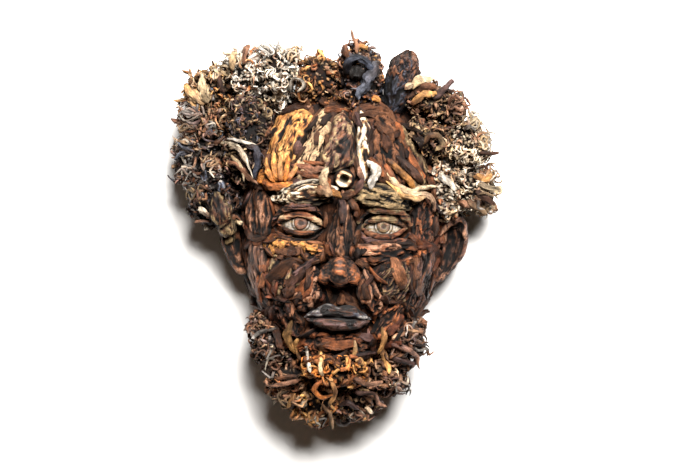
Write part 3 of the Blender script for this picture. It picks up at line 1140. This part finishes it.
# Limbs placed by hand. Each has its stain, its tip's stain and how flat it is, then rows of x, y in eye
# widths with the lift and the half width in millimetres
LIMBS = {
    "cream_strands": ("pale_wood", limb_rows("""
        cream bone 0.7: -3.15 2 3 2.5, -2.75 1.98 6 3.6, -2.45 1.75 6 3.2, -2.3 1.35 3 1.6
        sand bone 0.7: -3 1.85 3 2, -2.6 1.87 8 3.2, -2.38 1.55 7 2.6, -2.22 1.18 3 1.4
        ash bone 0.7: -2.9 2.12 3 1.8, -2.5 2.02 8 3, -2.18 1.97 6 1.6
        khaki cream 0.7: -2.75 1.7 4 2.4, -2.5 1.45 6 3, -2.42 1.1 4 1.6
        umber pink 0.8: -2.98 1.5 3 3.4, -2.65 1.5 6 4.4, -2.35 1.22 5 3.6, -2.1 1.02 2 2.4
    """)),
    "black_root": ("root_dark", limb_rows("""
        soot slate 0.9: -2.4 1.98 3 3.5, -2.17 1.86 8 4.8, -2.12 1.52 8 4.4, -2.2 1.15 3 2.6
    """)),
    "coral_root": ("orange_wood", limb_rows("""
        orange honey 0.9: -1.7 1.1 4 4.5, -1.86 1.38 7 4.2, -1.92 1.68 6 2.6
        orange honey 0.9: -1.62 1.12 6 4.6, -1.7 1.45 9 4, -1.74 1.82 7 2.8
        rust honey 0.9: -1.52 1.12 6 4.4, -1.56 1.48 9 4, -1.54 1.84 7 2.8
        orange orange 0.9: -1.42 1.14 5 4.4, -1.38 1.42 8 4, -1.36 1.74 6 2.6
        rust honey 0.9: -1.34 1.16 3 4, -1.2 1.36 6 3.8, -1.14 1.6 5 3
        rust orange 0.9: -1.95 1.12 2 5, -1.65 0.98 5 6, -1.25 1.06 3 4.5
    """)),
    "splinters": ("red_bark", limb_rows("""
        red pink 0.5: -1.3 1.52 4 3, -0.8 1.44 5 5, -0.32 1.42 4 3
        cocoa rust 0.5: -1.2 1.36 3 3, -0.75 1.3 4 4.5, -0.36 1.22 3 2.5
        rust umber 0.5: -1.05 1.62 3 2, -0.7 1.58 4 3, -0.45 1.6 3 1.8
    """)),
    "brow_root": ("tan_wood", limb_rows("""
        sand cream 0.9: 1.05 1.42 4 3.4, 1.32 1.12 9 4.6, 1.62 0.98 10 4.6, 1.92 1.1 9 4, 2.25 1.16 5 2.8
        honey sand 0.9: 1 1.25 3 2.8, 1.36 0.96 8 4, 1.7 0.84 9 4, 2.02 0.92 7 3
        cream pink 0.9: 1.55 0.8 7 3.2, 1.86 0.96 11 3.8, 2.12 0.9 8 4.4, 2.22 0.55 4 4
    """)),
    "brow_horn": ("pale_wood", limb_rows("""
        ash bone 0.8: 0.62 1.02 4 4.5, 0.7 1.3 9 6.5, 0.74 1.5 9 8, 0.56 1.7 6 4
        sand cream 0.8: -0.42 1.02 5 6, -0.5 1.22 8 6.5, -0.4 1.5 6 4
        umber sand 0.8: -0.62 0.98 5 6.5, -0.42 0.92 8 7.5, -0.26 0.86 4 4.5
    """)),
    "knot_collar": ("dark_bark", [
        (stain, tip, COLLAR_FLAT, tangential(*KNOT_AT, *rest)) for stain, tip, *rest in KNOT_COLLAR
    ]),
    "forehead_rods": ("orange_wood", limb_rows("""
        cocoa ochre 0.8: 1.02 1.8 4 3.6, 1.36 1.46 8 5.2, 1.74 1.1 6 4.2
        rust umber 0.7: 0.98 1.62 3 3, 1.16 1.34 6 4, 1.36 1.08 4 3
        soot cocoa 0.8: 1.25 1.86 4 4, 1.6 1.52 8 6, 1.92 1.22 6 4.6
    """)),
    "hairline_bark": ("dark_bark", limb_rows("""
        cocoa umber 0.6: 0.15 2.92 4 4, 0.55 3.06 7 6.5, 0.95 3.02 6 6, 1.18 2.72 3 3.5
        soot umber 0.6: 0.25 2.8 3 3, 0.62 2.88 5 5, 1 2.84 4 4
        cocoa umber 0.7: 0.72 2.66 5 6, 0.98 2.46 8 7.5, 1.15 2.22 5 4.5
        cocoa rust 0.6: -0.55 2.88 3 4, -0.15 2.98 5 5.5, 0.15 2.9 3 4
        soot cocoa 0.6: -1.7 2.75 3 4, -1.3 2.95 5 6, -0.8 2.96 3 4.5
    """)),
    "top_twig": ("root_brown", limb_rows("""
        umber pink 0.9: 0.18 4.35 4 3.6, 0.14 4.58 8 3, 0.08 4.74 9 2.2, 0.02 4.92 9 2
        rust honey 0.9: 0.14 4.46 6 3, 0.28 4.52 9 4, 0.42 4.48 8 3
        cocoa umber 0.9: -0.1 4.2 4 4, -0.12 4.38 8 5, -0.1 4.52 6 3.6
    """)),
    "slate_loop": ("root_dark", limb_rows("""
        black slate 0.9: -0.06 3.8 5 4.6, -0.04 4.04 10 5.2, 0.18 4.18 12 5.4, 0.42 4.1 12 5.4,
            0.56 3.88 10 5.6
        soot steel 0.9: 0.66 4.12 8 6, 0.56 3.82 12 7.4, 0.4 3.52 11 7.4, 0.24 3.22 5 6
        black black 0.6: 0.02 3.84 2 8, 0.2 3.84 3 12, 0.36 3.8 2 8
        orange honey 0.9: 0.58 3.26 5 3.5, 0.68 3.24 7 4.6, 0.78 3.2 5 3.2
        pink cream 0.9: 1.38 3.52 7 3.2, 1.47 3.58 9 4.6, 1.56 3.62 7 3.4
    """)),
    "crown_shells": ("root_brown", limb_rows("""
        khaki cream 0.5: 1.48 3.5 4 3.6, 1.72 3.76 8 6, 2.08 3.82 6 4
        soot umber 0.5: 1.46 3.3 4 4, 1.76 3.56 8 7.5, 2.14 3.62 6 4.5
        umber honey 0.5: 1.56 3.16 4 3.6, 1.82 3.36 9 5.5, 2.16 3.42 6 3.6
        soot plum 0.9: 2.1 3.3 2 4, 2.32 3.54 5 5.4, 2.56 3.8 6 3.8
        soot cocoa 0.9: 2.36 3.56 3 3.6, 2.5 3.52 5 3.8, 2.62 3.56 4 2.6
        cocoa khaki 0.9: 1.92 2.2 5 4.4, 2.02 2.4 9 5, 2.24 2.38 9 4.8, 2.32 2.18 8 4.6, 2.16 2.04 6 4
    """)),
    "right_twigs": ("root_pale", limb_rows("""
        soot cream 0.9: 3.25 1.32 2 4.4, 3.52 1.2 5 4.6, 3.74 1.18 7 4.2, 3.88 1.18 7 4.6
        umber honey 0.9: 3.2 1.5 4 4.6, 3.46 1.38 8 5.4, 3.6 1.56 6 3.8
        soot cocoa 0.9: 3.25 1.1 2 4, 3.5 0.92 5 4.6, 3.7 0.82 5 3
        cocoa sand 0.9: 3.05 0.86 3 4.4, 3.3 0.7 6 4.6, 3.55 0.56 5 3.6
        umber pink 0.9: 2.86 0.84 4 5, 2.98 0.78 7 5.8, 3.08 0.72 8 6
        soot cocoa 0.9: 3.3 2.06 3 3.6, 3.55 2.04 5 3.2, 3.76 2.08 5 2
        ash bone 0.8: 2.3 1.4 4 4, 2.52 1.3 8 5.4, 2.72 1.12 5 4
    """)),
    "left_burls": ("root_dark", limb_rows("""
        umber bone 0.9: -3.25 0.22 3 3.6, -3.4 0.3 6 4, -3.52 0.38 8 4.6
        umber bone 0.9: -3.16 0.06 2 4, -3.3 -0.04 5 4.6, -3.42 -0.08 8 5.4
        cocoa pink 0.9: -3.3 0.1 1 2.6, -3.48 0.08 4 2.6, -3.62 0.05 4 3
        khaki cream 0.9: -2.64 0.12 3 3, -2.56 0.08 6 4, -2.48 0.04 7 4.6
    """)),
    "broken_sticks": ("tan_wood", limb_rows("""
        khaki cream 0.6: -3.42 3.02 2 8, -3.56 3.34 6 7.4, -3.62 3.72 6 3.4
        sand honey 0.6: -3.5 2.96 3 7, -3.8 3.18 7 7, -4.02 3.42 6 3.2
        honey sand 0.6: -3.6 2.86 3 5, -3.74 2.98 8 6, -3.84 3.1 6 4
        soot cocoa 0.8: -3.08 3.24 6 4, -3.12 3.46 9 4, -3.18 3.66 8 2.2
    """)),
    "pale_flake": ("root_pale", limb_rows("""
        umber pink 0.8: -2.58 3.98 4 4, -2.56 4.22 8 5, -2.5 4.46 6 3.4
        khaki sand 0.8: -2.86 3.8 4 5, -2.84 4.06 8 5.6, -2.8 4.24 6 4
        ash bone 0.9: -1.42 3.36 4 2.6, -1.38 3.58 8 3, -1.18 3.62 9 3, -1.08 3.44 8 3, -1.24 3.3 5 2.6
    """)),
    "beard_roots": ("root_brown", limb_rows("""
        cocoa pink 0.9: -0.85 -3.7 5 3.6, -1.2 -3.78 9 3.6, -1.58 -3.86 7 2.9, -1.68 -3.74 6 1.9
        soot umber 0.9: -0.92 -3.58 4 3.2, -1.22 -3.62 8 3.3, -1.5 -3.64 5 2
        umber honey 0.9: -0.98 -4.02 4 3.3, -1.06 -4.2 7 3.3, -1.14 -4.42 6 2.4
        sand bone 0.9: -0.9 -4.16 4 4.3, -0.8 -4.26 8 5.8, -0.72 -4.34 5 4.3
        rust orange 0.9: -0.3 -3.56 5 2.9, -0.5 -3.84 9 3.3, -0.3 -4.04 10 3.3, -0.06 -3.98 6 2.4
        umber honey 0.9: -0.12 -3.62 4 2.9, 0.04 -3.9 8 3.3, -0.1 -4.18 8 3, 0.04 -4.36 5 2.2
        umber sand 0.9: -0.32 -4.26 4 3.2, -0.12 -4.5 6 3, -0.04 -4.7 6 2.4, -0.02 -4.88 5 1.4
        honey cream 0.6: -0.4 -2.92 4 2.9, -0.36 -3.2 7 3.9, -0.3 -3.54 5 2.2
        ash bone 0.9: -0.74 -2.84 4 2.4, -0.7 -3.1 7 2.4, -0.6 -3.42 6 3.3
    """)),
    "dark_beard_roots": ("root_dark", limb_rows("""
        plum pink 0.9: 0.34 -3.74 5 3.6, 0.62 -3.96 9 3.6, 0.96 -3.96 10 3.3, 1.1 -4.2 8 3.2,
            1.28 -4.28 5 2.2
        cocoa pink 0.9: 0.46 -3.56 5 4, 0.8 -3.68 9 4.3, 1.16 -3.62 6 2.9
        soot plum 0.9: 0.1 -4.3 4 3.6, 0.34 -4.2 8 3.9, 0.6 -4.34 6 3.2
        soot cocoa 0.9: 0.06 -4.6 1 2.9, 0.16 -4.82 3 3.2, 0.36 -4.76 3 2.9, 0.4 -4.56 1 2.4
        sand bone 0.9: 0.78 -4.34 5 2.6, 0.86 -4.42 7 3.6, 0.94 -4.48 5 2.6
        umber honey 0.9: 0.6 -4.52 4 2.9, 0.7 -4.6 6 4, 0.82 -4.62 4 2.6
        plum pink 0.9: 1.32 -2.74 5 4, 1.64 -2.8 9 4.3, 1.92 -2.96 8 3.6, 2.04 -3.28 4 2.2
        soot plum 0.9: 1.28 -2.98 5 4, 1.64 -3.12 8 4.3, 1.98 -3.2 4 2.6
        umber honey 0.9: 1.08 -2.72 5 3.6, 1.18 -3.06 9 4.8, 1.3 -3.44 6 3.3
        soot ash 0.9: -1.5 -2.48 4 2.9, -1.84 -2.56 7 3.2, -2.08 -2.72 4 1.9
    """)),
    "mouth_leaves": ("tan_wood", limb_rows("""
        soot honey 0.45: -1.12 -2.26 3 2.5, -1.22 -2.62 6 6, -1.02 -3.06 3 2.5
        honey umber 0.45: -0.92 -2.62 2 2.5, -1 -2.88 5 4.2, -0.86 -3.22 3 2.2
        umber honey 0.45: 1.06 -2.3 3 2.2, 1.14 -2.6 6 4.7, 1.02 -2.96 3 2.2
        sand honey 0.5: 0.42 -2.66 3 2, 0.46 -2.88 5 3.4, 0.4 -3.1 3 1.7
    """)),
}
LIMB_RINGS, LIMB_SIDES = 23, 12
SPIKE_RINGS, SPIKE_SIDES = 8, 6
LIMB_STIFFNESS, LIMB_FALL, LIMB_TWIST, LIMB_CREASE, LIMB_PATCH = 3, 0.5, 40.0, 50, 0.6
LIMB_ROUGH, LIMB_RAGGED, LIMB_UNDER, LIMB_BLUNT, LIMB_END = 0.45, 0.0020, 0.8, 12, 0.2
GNARL, GNARL_SIZE = 0.0016, 0.011

# Fans of spikes at the edge of the hair: x, y in eye widths, the heading and the spread in degrees, how many,
# the length in eye widths, the half width in millimetres and the stains
FANS = {
    "left_spikes": ("root_dark", (
        (-3.62, 2.62, 160, 90, 14, 0.58, 1.8, "plum", "ash"),
        (-3.78, 2.20, 175, 80, 11, 0.44, 1.7, "cocoa", "sand"),
        (-3.72, 1.72, 190, 90, 14, 0.52, 1.8, "soot", "steel"),
        (-3.62, 1.22, 200, 80, 13, 0.46, 1.8, "soot", "ash"),
        (-3.44, 0.78, 205, 80, 10, 0.40, 1.7, "cocoa", "khaki"),
        (-3.30, 2.20, 120, 150, 13, 0.40, 1.8, "slate", "pink"),
        (-3.20, 1.62, 240, 160, 13, 0.40, 1.8, "umber", "sand"),
    )),
    "crown_spikes": ("root_pale", (
        (-3.05, 3.62, 130, 90, 11, 0.46, 1.7, "khaki", "cream"),
        (-2.72, 3.96, 105, 90, 11, 0.46, 1.5, "sand", "white"),
        (-2.05, 4.20, 90, 90, 11, 0.40, 1.5, "ash", "white"),
        (-1.45, 4.12, 70, 90, 10, 0.40, 1.5, "sand", "bone"),
    )),
    "right_spikes": ("root_brown", (
        (2.55, 3.10, 40, 90, 11, 0.50, 1.8, "cocoa", "pink"),
        (2.92, 2.72, 30, 100, 11, 0.44, 1.7, "khaki", "cream"),
        (3.30, 2.30, 10, 90, 11, 0.36, 1.7, "khaki", "sand"),
        (3.40, 1.62, -5, 90, 10, 0.38, 1.8, "umber", "sand"),
        (3.30, 0.90, -35, 80, 10, 0.42, 1.8, "cocoa", "sand"),
    )),
    "beard_spikes": ("root_brown", (
        (-1.40, -3.30, 185, 90, 10, 0.46, 2.0, "cocoa", "pink"),
        (-1.20, -4.05, 215, 90, 10, 0.44, 2.0, "umber", "sand"),
        (-0.40, -4.55, 260, 90, 10, 0.36, 1.8, "umber", "honey"),
        (0.60, -4.40, 300, 90, 10, 0.34, 1.8, "cocoa", "pink"),
        (1.50, -3.66, 325, 90, 10, 0.36, 2.0, "soot", "plum"),
        (1.90, -2.80, 350, 90, 10, 0.38, 2.0, "soot", "pink"),
    )),
}


# How spikes vary: their length, lift in millimetres, bend and root, how flat they are, and their other stains
SPIKE_REACH, SPIKE_LIFT, SPIKE_BEND, SPIKE_ROOT, SPIKE_FLAT = (0.45, 1.1), (0, 6), 0.15, 0.12, 0.7
SPIKE_ASIDE, SPIKE_STAINS, SPIKE_TIPS = (-0.5, 1.5), ("soot", "umber"), ("ash", "bone")


def fanned(rng, x, y, heading, spread, count, length, half, stain, tip):
    """The limbs of one loose fan of spikes, from the middle of its root."""
    for number in range(count):
        turn = math.radians(heading + spread * ((number + rng.uniform(*SPIKE_ASIDE)) / count - 0.5))
        reach = length * rng.uniform(*SPIKE_REACH)
        lift = rng.uniform(*SPIKE_LIFT)
        from_x = x + rng.uniform(-SPIKE_ROOT, SPIKE_ROOT)
        from_y = y + rng.uniform(-SPIKE_ROOT, SPIKE_ROOT)
        bend, hook = rng.uniform(-SPIKE_BEND, SPIKE_BEND), rng.uniform(-SPIKE_BEND, SPIKE_BEND)
        rows = [
            (
                from_x + part * reach * math.cos(turn) - aside * math.sin(turn),
                from_y + part * reach * math.sin(turn) + aside * math.cos(turn),
                lift + rise,
                half * width,
            )
            for part, aside, rise, width in (
                (0.0, 0, 0, 1.2), (0.4, bend, 3, 1.1), (0.75, -hook, 3, 1.0), (1.0, hook, 2, 0.7)
            )
        ]
        root, end = rng.choice((stain, stain, *SPIKE_STAINS)), rng.choice((tip, tip, tip, stain, *SPIKE_TIPS))
        yield root, end, SPIKE_FLAT, rows


def limbs(name, seed, slot, group, rings, sides):
    """One group of limbs, each laid along its rows."""
    paths, wides, flats, stains, tips, ups = [], [], [], [], [], []
    for stain, tip, flat, rows in group:
        rows = smooth_path(rows, rings)
        places = [on_head(x, y).xy for x, y in rows[:, :2]]
        path, _, _ = laid(np.array(places), LIMB_STIFFNESS, LIMB_FALL)
        path[:, 2] += rows[:, 2] * MM
        path += GNARL * strayed(path, GNARL_SIZE, seed + len(paths), step=50)
        part = np.linspace(-1, 1, rings)
        end = np.sqrt(np.maximum(1 - np.abs(part) ** LIMB_BLUNT, LIMB_END))
        paths.append(path)
        wides.append(rows[:, 3] * MM * end)
        flats.append(flat)
        stains.append(COLOURS[stain])
        tips.append(COLOURS[tip])
        ups.append((0.0, 0.0, 1.0))
    wides = np.array(wides)
    wood = Wood()
    tubes(
        wood, np.array(paths), wides, wides * np.array(flats)[:, None], np.array(ups), np.array(stains),
        np.array(tips), sides, 0.0, LIMB_ROUGH, seed, ragged=LIMB_RAGGED, twist=LIMB_TWIST, under=LIMB_UNDER,
        patches=LIMB_PATCH * np.array(tips),
    )
    return wood.made(name, slot, crease=LIMB_CREASE)


for number, (group_name, (group_slot, group)) in enumerate(LIMBS.items()):
    limbs(group_name, 500 + 11 * number, group_slot, group, LIMB_RINGS, LIMB_SIDES)
for number, (fan_name, (fan_slot, fans)) in enumerate(FANS.items()):
    fan_rng = random.Random(600 + number)
    spikes = [spike for fan in fans for spike in fanned(fan_rng, *fan)]
    limbs(fan_name, 700 + 7 * number, fan_slot, spikes, SPIKE_RINGS, SPIKE_SIDES)
for number, group_name in enumerate(SLIPS):
    slips(group_name, 800 + 17 * number)
for number, chip_name in enumerate(CHIP_SLOTS):
    chips(chip_name, 950 + number)


# Tangles of root wood. Each habit says how many knobs and branches stand on a square decimetre and how many
# twigs a branch carries, then the steps, half sizes and lengths in metres of branches and of twigs, then how
# many turns they curl and how straight out they grow
HABITS = {
    "curls": (160, 32, 6, (6, 7), (0.0029, 0.0020), (0.025, 0.022), 0.85, 0.5),
    "loose": (120, 28, 5, (7, 7), (0.0031, 0.0022), (0.028, 0.025), 0.95, 0.5),
    "scales": (90, 42, 4, (5, 4), (0.0042, 0.0027), (0.026, 0.018), 0.12, 1.3),
    "crumbs": (200, 38, 5, (5, 5), (0.0034, 0.0025), (0.016, 0.014), 0.5, 0.7),
    "roots": (80, 24, 5, (8, 8), (0.0044, 0.0029), (0.042, 0.031), 0.7, 0.4),
}
# Each tangle's habit and slot, the stains of its rootlets, and those of their tips
TANGLES = {
    "hair_left_low": ("crumbs", "root_dark", "black soot cocoa soot slate soot", "cocoa ash pink umber"),
    "hair_left_mid": ("scales", "root_dark", "soot slate plum cocoa soot umber", "sand pink bone ash"),
    "hair_left_upper": ("scales", "root_brown", "cocoa plum umber khaki rust pink", "sand pink honey cream"),
    "hair_left_crown": ("scales", "root_brown", "umber khaki sand cocoa rust honey", "sand cream honey"),
    "hair_top_left": (
        "curls", "root_pale", "cream white bone orange pink white rust white", "white pink white",
    ),
    "hair_top_pale": ("curls", "root_pale", "cream bone white sand white pink ash white", "white bone white"),
    "hair_left_inner": ("curls", "root_dark", "soot cocoa slate soot khaki plum", "cream umber pink sand"),
    "hair_top_middle": ("loose", "root_brown", "umber pink sand rust umber honey", "pink cream honey orange"),
    "hair_loop": ("crumbs", "root_dark", "soot slate cocoa umber plum rust pink", "slate pink honey ash"),
    "hair_right_crown": ("crumbs", "root_brown", "soot cocoa umber plum khaki pink", "honey cream pink sand"),
    "hair_right_upper": ("crumbs", "root_brown", "soot cocoa umber plum khaki sand", "honey cream pink sand"),
    "hair_right_mid": ("curls", "root_pale", "khaki sand cream umber cream bone pink", "bone white bone"),
    "hair_right_low": ("curls", "root_pale", "khaki sand umber pink bone bone cream", "white bone cream"),
    "hair_right_inner": ("crumbs", "root_pale", "khaki ash umber sand bone rust", "bone ash cream"),
    "beard_left_jaw": ("crumbs", "root_dark", "soot cocoa umber plum umber", "ash pink sand cream"),
    "beard_left_low": ("roots", "root_brown", "cocoa umber rust umber pink", "pink honey cream"),
    "beard_bottom": ("roots", "root_brown", "umber rust cocoa sand honey", "honey cream orange"),
    "beard_bottom_right": ("roots", "root_dark", "cocoa umber plum khaki umber", "honey sand pink"),
    "beard_right_low": ("roots", "root_dark", "cocoa plum umber umber pink", "pink sand cream"),
    "beard_right_jaw": ("roots", "root_dark", "soot plum cocoa umber pink", "sand pink ash"),
    "beard_chin": ("roots", "root_brown", "umber rust cocoa orange honey", "orange honey pink"),
}
# The dark core of a tangle: its size of mesh, its rounds of smoothing, how deep it lies and how dark it is
CORE_SIZE, CORE_ROUNDS, CORE_DEPTH, CORE_SHADE = 0.0085, 3, 0.0075, 0.8
# How crowded and fat rootlets are, where they start and end, and how dark and flat they get
SQUARE_DECIMETRES = 100
DENSITY, FATTER = 0.84, 0.96
COVERED_NEAR, SPREAD_CELL = 0.008, 0.02
STARTS_DEEP, STANDS_OUT = (0.003, 0.009), (-0.003, 0.007)
KNOB_SIDES, BRANCH_SIDES, TWIG_SIDES = 4, 4, 3
SHADE_DEPTH, DEEPEST, DEEPEST_PALE = 0.007, 1.0, 0.7
FLAT_SCALE, FLAT_OTHER = 0.4, 0.9

# How knobs, branches and twigs vary: shares of their lengths, how deep and how fat knobs are, how they stray
KNOB_STEPS, KNOB_FATTER, KNOB_STRAY = 2, 1.15, 0.6
KNOB_LENGTHS, BRANCH_LENGTHS, TWIG_LENGTHS = (1.4, 2.6), (0.7, 1.25), (0.6, 1.3)
KNOB_DEPTHS = (0.0, 0.005)
BRANCH_CURL, TWIG_ONWARD = 0.6, 0.5
CURL_SPREAD, HEADING_STRAY = (0.5, 1.3), 0.25

# How rootlets vary: their taper, their knots, widths, tips, shades and roughness
NARROWER, TIP_KEEN, TIP_LEFT, KNOTTY = 0.45, 2.4, 0.4, 0.3
ROOTLET_WIDTHS, ROOTLET_TIPS, ROOTLET_SHADES = (0.65, 1.35), (0.1, 1), (0.5, 1.7)
ROOTLET_ROUGH = 0.4


def grown(rng, shell, start, heading, length, steps, curl):
    """A rootlet's path as rows of x, y, z and height out of the tangle: it curls, and doesn't get far out."""
    axis = heading.cross(random_direction(rng)).normalized()
    turn = rng.choice((-1, 1)) * curl * rng.uniform(*CURL_SPREAD) * 2 * math.pi / steps
    allowed = rng.uniform(*STANDS_OUT)
    path = [(*start, -SHADE_DEPTH)]
    point = start
    for _ in range(steps):
        heading = (Quaternion(axis, turn) @ heading + HEADING_STRAY * random_direction(rng)).normalized()
        point = point + heading * length / steps
        near, normal, _, _ = shell.find_nearest(point)
        outside = (point - near).dot(normal)
        if outside > allowed:
            point = point - normal * (outside - allowed)
            outside = allowed
        path.append((*point, outside))
    return path


def rootlets(wood, paths, radius, flat, sides, palette, tips, deepest, seed):
    """Adds rootlets of random stains, as dark as the shade deepest where they lie deep."""
    numbers = np.random.default_rng(seed)
    paths = np.array(paths)
    count, rings, _ = paths.shape
    part = np.linspace(0, 1, rings)
    taper = (1 - NARROWER * part) * np.minimum(1, TIP_KEEN * (1 - part) + TIP_LEFT)
    knots = 1 + KNOTTY * numbers.uniform(-1, 1, (count, rings))
    wide = FATTER * radius * taper * knots * numbers.uniform(*ROOTLET_WIDTHS, (count, 1))
    colours = drawn(numbers, palette, count)
    ends = drawn(numbers, tips, count)
    keen = numbers.uniform(*ROOTLET_TIPS, (count, 1))
    ends = colours * (1 - keen) + ends * keen
    shades = numbers.uniform(*ROOTLET_SHADES, (count, 1))
    shade = deepest * np.clip(-paths[:, :, 3] / SHADE_DEPTH, 0, 1)
    ups = unit(numbers.normal(size=(count, 3)))
    tubes(
        wood, paths[:, :, :3], wide, wide * flat, ups, colours * shades, ends * shades,
        sides, shade, ROOTLET_ROUGH, seed,
    )


def tangle(name, seed):
    """Dresses one tangle: a dark crumbled core, grown over with knobs and with branches that carry twigs."""
    habit_name, slot, palette, tips = TANGLES[name]
    knob_count, branch_count, twig_count, steps, halves, lengths, curl, outward = HABITS[habit_name]
    rng = random.Random(seed)
    points, faces, normals = dense(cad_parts[name].data, CORE_SIZE, CORE_ROUNDS)
    height, depth, tone = crumbled(points, seed)
    wood = Wood()
    stain = stained("black soot cocoa", tone)
    points = points + normals * (height - CORE_DEPTH)[:, None]
    wood.add(points, faces, stain, CORE_SHADE + (1 - CORE_SHADE) * depth, points)

    shell, _ = surface_of([name])
    places, outs, share = open_places(name, COVERED_NEAR)
    area = share.sum() * SEED_SIZE**2 * SQUARE_DECIMETRES

    order = np.lexsort(np.floor(places / SPREAD_CELL).T)
    reached = np.cumsum(share[order])

    def begun(crowding):
        """Where knobs or branches start: so many a square decimetre, spread evenly over the open parts."""
        count = int(crowding * DENSITY * area)
        for k in range(count):
            i = order[np.searchsorted(reached, (k + rng.random()) / count * reached[-1])]
            yield Vector(places[i]), Vector(outs[i])

    knobs, branches, twigs = [], [], []
    for place, out in begun(knob_count):
        heading = (out + KNOB_STRAY * random_direction(rng)).normalized()
        length = halves[0] * rng.uniform(*KNOB_LENGTHS)
        start = place - out * (length + rng.uniform(*KNOB_DEPTHS))
        knobs.append(grown(rng, shell, start, heading, length, KNOB_STEPS, 0.0))
    for place, out in begun(branch_count):
        start = place - out * rng.uniform(*STARTS_DEEP)
        heading = (out * outward + random_direction(rng)).normalized()
        length = lengths[0] * rng.uniform(*BRANCH_LENGTHS)
        path = grown(rng, shell, start, heading, length, steps[0], curl * BRANCH_CURL)
        branches.append(path)
        for _ in range(twig_count):
            k = rng.randrange(1, steps[0])
            fork, onward = Vector(path[k][:3]), Vector(path[k + 1][:3])
            heading = (onward - fork).normalized() * TWIG_ONWARD + random_direction(rng)
            heading = (heading + out * outward).normalized()
            length = lengths[1] * rng.uniform(*TWIG_LENGTHS)
            twigs.append(grown(rng, shell, fork, heading, length, steps[1], curl))
    flat = FLAT_SCALE if habit_name == "scales" else FLAT_OTHER
    deepest = DEEPEST_PALE if slot == "root_pale" else DEEPEST
    for number, (paths, half, flatness, sides) in enumerate((
        (knobs, halves[0] * KNOB_FATTER, FLAT_OTHER, KNOB_SIDES),
        (branches, halves[0], flat, BRANCH_SIDES),
        (twigs, halves[1], flat, TWIG_SIDES),
    )):
        rootlets(wood, paths, half, flatness, sides, palette, tips, deepest, seed + 1 + number)
    return wood.made(name + "_roots", slot, (name,))


for number, tangle_name in enumerate(TANGLES):
    tangle(tangle_name, 1000 + 13 * number)


# The floor, the light and the camera
FLOOR_SIZE, FLOOR_DROP = 40.0, 0.0005
FLOOR_COLOUR, FLOOR_ROUGH = (0.93, 0.92, 0.91, 1), 0.9
# Each light's place, size, power and colour
LIGHTS = {
    "key": ((0.42, 1.28, 2.10), 1.1, 240, (1.0, 0.98, 0.95)),
    "fill": ((-1.6, 0.4, 2.2), 2.0, 3, (1.0, 0.78, 0.60)),
}
LIGHTS_AIM = Vector((0, 0, 0.05))
ROOM_COLOUR, ROOM_STRENGTH = (1.0, 0.68, 0.46, 1), 0.020
FRAME_PIXELS, CENTRE_PIXEL = (700, 467), (336.5, 232.0)
METRES_A_PIXEL = 0.001538
LENS_MM, SENSOR_MM = 85.0, 36.0
FOCUS_HEIGHT = 0.08


def floor():
    """A plain pale floor under the mask."""
    half = FLOOR_SIZE / 2
    corners = [(-half, -half, 0), (half, -half, 0), (half, half, 0), (-half, half, 0)]
    mesh = bpy.data.meshes.new("floor")
    mesh.from_pydata(corners, [], [(0, 1, 2, 3)])
    material = bpy.data.materials.new("floor_paint")
    material.use_nodes = True
    shader = material.node_tree.nodes["Principled BSDF"]
    shader.inputs["Base Color"].default_value = FLOOR_COLOUR
    shader.inputs["Roughness"].default_value = FLOOR_ROUGH
    mesh.materials.append(material)
    plane = placed("floor", mesh)
    plane.location.z = -FLOOR_DROP
    plane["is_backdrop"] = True


def area_light(name, place, size, power, colour):
    """A soft square light that looks at the middle of the mask."""
    light = bpy.data.lights.new(name, "AREA")
    light.size = size
    light.energy = power
    light.color = colour
    lamp = placed(name, light)
    lamp.location = place
    lamp.rotation_mode = "QUATERNION"
    lamp.rotation_quaternion = (Vector(place) - LIGHTS_AIM).to_track_quat("Z", "Y")


def stage():
    """The floor, a soft key light from the upper right, a faint warm fill, and a dim warm room."""
    floor()
    for name, light in LIGHTS.items():
        area_light(name, *light)
    world = bpy.data.worlds.new("room")
    world.use_nodes = True
    background = world.node_tree.nodes["Background"]
    background.inputs["Color"].default_value = ROOM_COLOUR
    background.inputs["Strength"].default_value = ROOM_STRENGTH
    bpy.context.scene.world = world
    bpy.context.scene.view_settings.view_transform = "Standard"


def camera():
    """The photograph's view: straight down, from the distance where the mask has its size in the frame."""
    lens = bpy.data.cameras.new("camera")
    lens.lens = LENS_MM
    lens.sensor_width = SENSOR_MM
    eye = placed("camera", lens)
    distance = FRAME_PIXELS[0] * METRES_A_PIXEL * LENS_MM / SENSOR_MM
    aside = (FRAME_PIXELS[0] / 2 - CENTRE_PIXEL[0]) * METRES_A_PIXEL
    above = (CENTRE_PIXEL[1] - FRAME_PIXELS[1] / 2) * METRES_A_PIXEL
    middle = (CAD_BOX[0] + CAD_BOX[1]) / 2
    eye.location = (middle.x + aside, middle.y + above, FOCUS_HEIGHT + distance)
    bpy.context.scene.camera = eye


stage()
camera()

# The mask's size with and without its looks
boxes = {"cad": CAD_BOX, "visual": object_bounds()}
{key: [list(corner) for corner in box] for key, box in boxes.items()}
